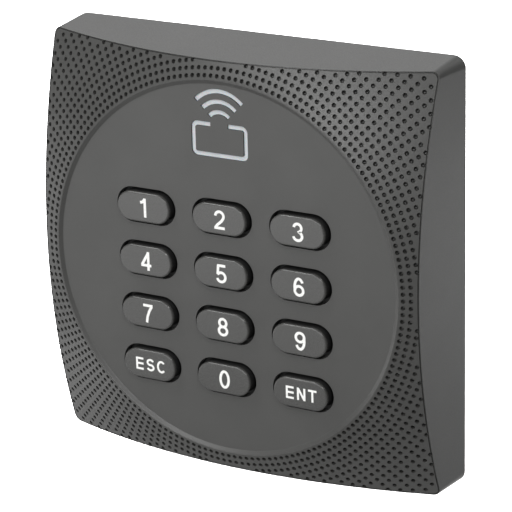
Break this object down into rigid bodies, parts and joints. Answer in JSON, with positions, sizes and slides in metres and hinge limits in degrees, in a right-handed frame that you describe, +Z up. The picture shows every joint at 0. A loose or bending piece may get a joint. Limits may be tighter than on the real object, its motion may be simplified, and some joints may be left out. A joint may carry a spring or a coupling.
{
  "type": "rfid card reader with keypad",
  "caption": "Square wall-mounted RFID card reader with a dimpled domed face, a flat round disc with stadium-shaped number keys and a lit card symbol.",
  "frame": {"origin": "centre of the square back, on the wall plane", "axes": "+Z up, the front faces -Y, +Y points into the wall"},
  "size_m": [0.118, 0.0264, 0.118],
  "materials": {
    "case_plastic": "fine satin texture",
    "cap_plastic": "satin",
    "rear_plastic": "matt",
    "black_rubber": "matt",
    "carbon": "matt",
    "board_laminate": "solder mask",
    "copper_wire": "enamelled",
    "light_guide": "translucent satin",
    "led_package": "satin",
    "chip_black": "matt",
    "connector_plastic": "satin",
    "zinc_steel": "zinc plated",
    "legend_ink": "printed"
  },
  "bodies": {
    "reader": {"front_cover": "case_plastic", "rear_cover": "rear_plastic", "wall_plate": "zinc_steel", "seal_gasket": "black_rubber", "cable_grommet": "black_rubber", "circuit_board": "board_laminate", "antenna_coil": "copper_wire", "symbol_light_guide": "light_guide", "symbol_led": "led_package", "controller_chip": "chip_black", "reader_chip": "chip_black", "buzzer": "chip_black", "terminal_header": "connector_plastic", "tamper_sensor": "chip_black", "rear_screw_1": "zinc_steel", "rear_screw_2": "zinc_steel", "rear_screw_3": "zinc_steel", "rear_screw_4": "zinc_steel", "board_screw_1": "zinc_steel", "board_screw_2": "zinc_steel", "board_screw_3": "zinc_steel", "board_screw_4": "zinc_steel", "security_screw": "zinc_steel", "keypad_mat": "black_rubber"},
    "key_1": {"key_cap_1": "cap_plastic", "key_plunger_1": "black_rubber", "contact_pill_1": "carbon"},
    "key_2": {"key_cap_2": "cap_plastic", "key_plunger_2": "black_rubber", "contact_pill_2": "carbon"},
    "key_3": {"key_cap_3": "cap_plastic", "key_plunger_3": "black_rubber", "contact_pill_3": "carbon"},
    "key_4": {"key_cap_4": "cap_plastic", "key_plunger_4": "black_rubber", "contact_pill_4": "carbon"},
    "key_5": {"key_cap_5": "cap_plastic", "key_plunger_5": "black_rubber", "contact_pill_5": "carbon"},
    "key_6": {"key_cap_6": "cap_plastic", "key_plunger_6": "black_rubber", "contact_pill_6": "carbon"},
    "key_7": {"key_cap_7": "cap_plastic", "key_plunger_7": "black_rubber", "contact_pill_7": "carbon"},
    "key_8": {"key_cap_8": "cap_plastic", "key_plunger_8": "black_rubber", "contact_pill_8": "carbon"},
    "key_9": {"key_cap_9": "cap_plastic", "key_plunger_9": "black_rubber", "contact_pill_9": "carbon"},
    "key_esc": {"key_cap_esc": "cap_plastic", "key_plunger_esc": "black_rubber", "contact_pill_esc": "carbon"},
    "key_0": {"key_cap_0": "cap_plastic", "key_plunger_0": "black_rubber", "contact_pill_0": "carbon"},
    "key_ent": {"key_cap_ent": "cap_plastic", "key_plunger_ent": "black_rubber", "contact_pill_ent": "carbon"}
  },
  "joints": [
    {"name": "press_1", "type": "slide", "parent": "reader", "child": "key_1", "axis": [0, 1, 0], "range_m": [0, 0.001], "stiffness_N_per_m": 1500},
    {"name": "press_2", "type": "slide", "parent": "reader", "child": "key_2", "axis": [0, 1, 0], "range_m": [0, 0.001], "stiffness_N_per_m": 1500},
    {"name": "press_3", "type": "slide", "parent": "reader", "child": "key_3", "axis": [0, 1, 0], "range_m": [0, 0.001], "stiffness_N_per_m": 1500},
    {"name": "press_4", "type": "slide", "parent": "reader", "child": "key_4", "axis": [0, 1, 0], "range_m": [0, 0.001], "stiffness_N_per_m": 1500},
    {"name": "press_5", "type": "slide", "parent": "reader", "child": "key_5", "axis": [0, 1, 0], "range_m": [0, 0.001], "stiffness_N_per_m": 1500},
    {"name": "press_6", "type": "slide", "parent": "reader", "child": "key_6", "axis": [0, 1, 0], "range_m": [0, 0.001], "stiffness_N_per_m": 1500},
    {"name": "press_7", "type": "slide", "parent": "reader", "child": "key_7", "axis": [0, 1, 0], "range_m": [0, 0.001], "stiffness_N_per_m": 1500},
    {"name": "press_8", "type": "slide", "parent": "reader", "child": "key_8", "axis": [0, 1, 0], "range_m": [0, 0.001], "stiffness_N_per_m": 1500},
    {"name": "press_9", "type": "slide", "parent": "reader", "child": "key_9", "axis": [0, 1, 0], "range_m": [0, 0.001], "stiffness_N_per_m": 1500},
    {"name": "press_esc", "type": "slide", "parent": "reader", "child": "key_esc", "axis": [0, 1, 0], "range_m": [0, 0.001], "stiffness_N_per_m": 1500},
    {"name": "press_0", "type": "slide", "parent": "reader", "child": "key_0", "axis": [0, 1, 0], "range_m": [0, 0.001], "stiffness_N_per_m": 1500},
    {"name": "press_ent", "type": "slide", "parent": "reader", "child": "key_ent", "axis": [0, 1, 0], "range_m": [0, 0.001], "stiffness_N_per_m": 1500}
  ]
}
